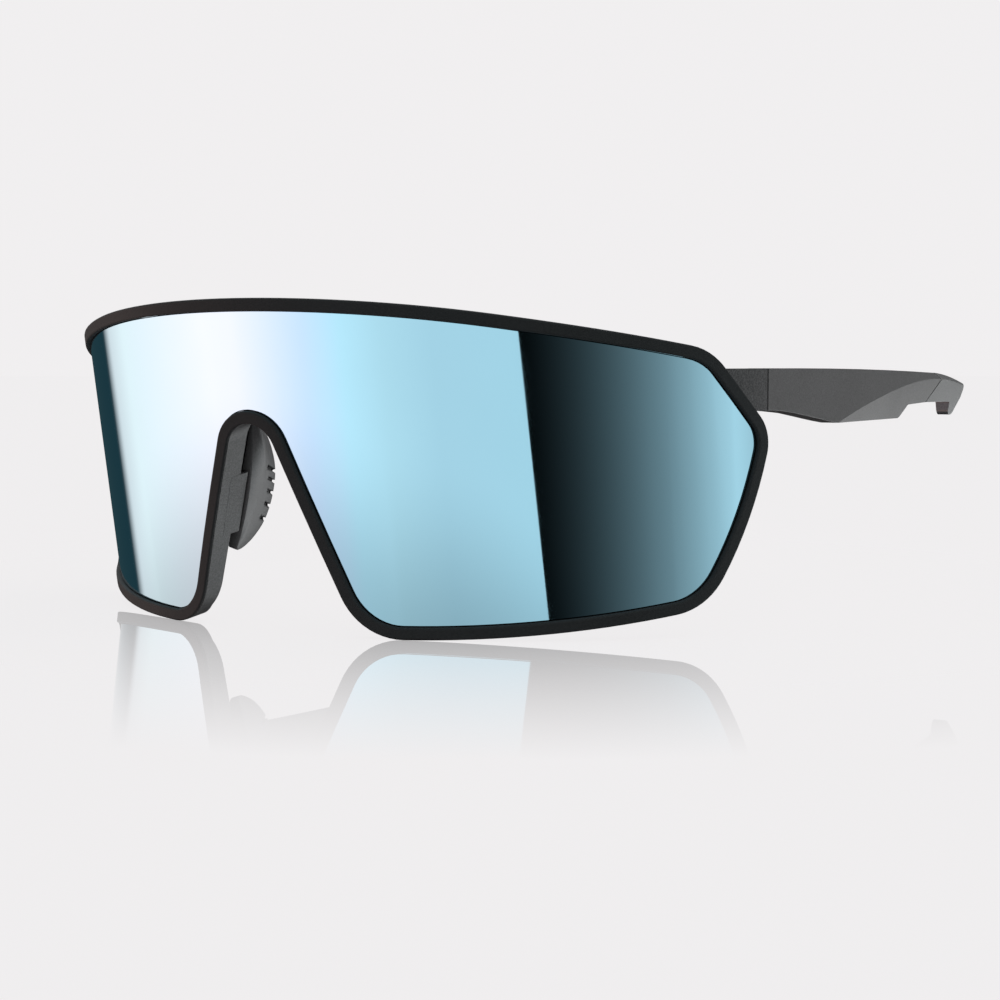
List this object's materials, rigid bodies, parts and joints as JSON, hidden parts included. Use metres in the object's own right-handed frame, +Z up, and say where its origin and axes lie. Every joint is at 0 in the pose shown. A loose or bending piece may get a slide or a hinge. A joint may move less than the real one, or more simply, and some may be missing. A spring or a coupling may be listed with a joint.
{
  "type": "shield sunglasses",
  "caption": "Wraparound one-piece mirrored shield glasses with a full rim, angular outline, folding temples with rubber tips and ribbed nose pads.",
  "frame": {"origin": "on the resting surface, under the middle of the bounding box", "axes": "+X to the wearer's left, +Y from the lens back along the temples, +Z up"},
  "size_m": [0.1438, 0.176, 0.0561],
  "materials": {
    "lens_mirror": "light-blue mirror coating on a smoke-tinted polycarbonate shield",
    "bezel_black": "soft matte black",
    "frame_grey": "anthracite, fine sandblasted grain",
    "carrier_dark": "dark moulded nylon",
    "pad_rubber": "soft grey rubber",
    "tip_rubber": "soft grey rubber",
    "steel": "stainless steel",
    "brass": "plain brass"
  },
  "bodies": {
    "front": {"lens": "lens_mirror", "front_bezel": "bezel_black", "rear_frame": "frame_grey", "nose_pad_carrier_left": "carrier_dark", "nose_pad_core_left": "steel", "nose_pad_left": "pad_rubber", "hinge_screw_left": "steel", "hinge_insert_left": "brass", "nose_pad_carrier_right": "carrier_dark", "nose_pad_core_right": "steel", "nose_pad_right": "pad_rubber", "hinge_screw_right": "steel", "hinge_insert_right": "brass"},
    "arm_left": {"temple_left": "frame_grey", "temple_core_left": "steel", "temple_tip_left": "tip_rubber", "hinge_bush_left": "steel"},
    "arm_right": {"temple_right": "frame_grey", "temple_core_right": "steel", "temple_tip_right": "tip_rubber", "hinge_bush_right": "steel"}
  },
  "joints": [
    {"name": "temple_left_fold", "type": "hinge", "parent": "front", "child": "arm_left", "pos_m": [0.0665, -0.02933, 0.04102], "axis": [0, 0, 1], "range_deg": [0, 95]},
    {"name": "temple_right_fold", "type": "hinge", "parent": "front", "child": "arm_right", "pos_m": [-0.0665, -0.02933, 0.04102], "axis": [0, 0, -1], "range_deg": [0, 85]}
  ]
}
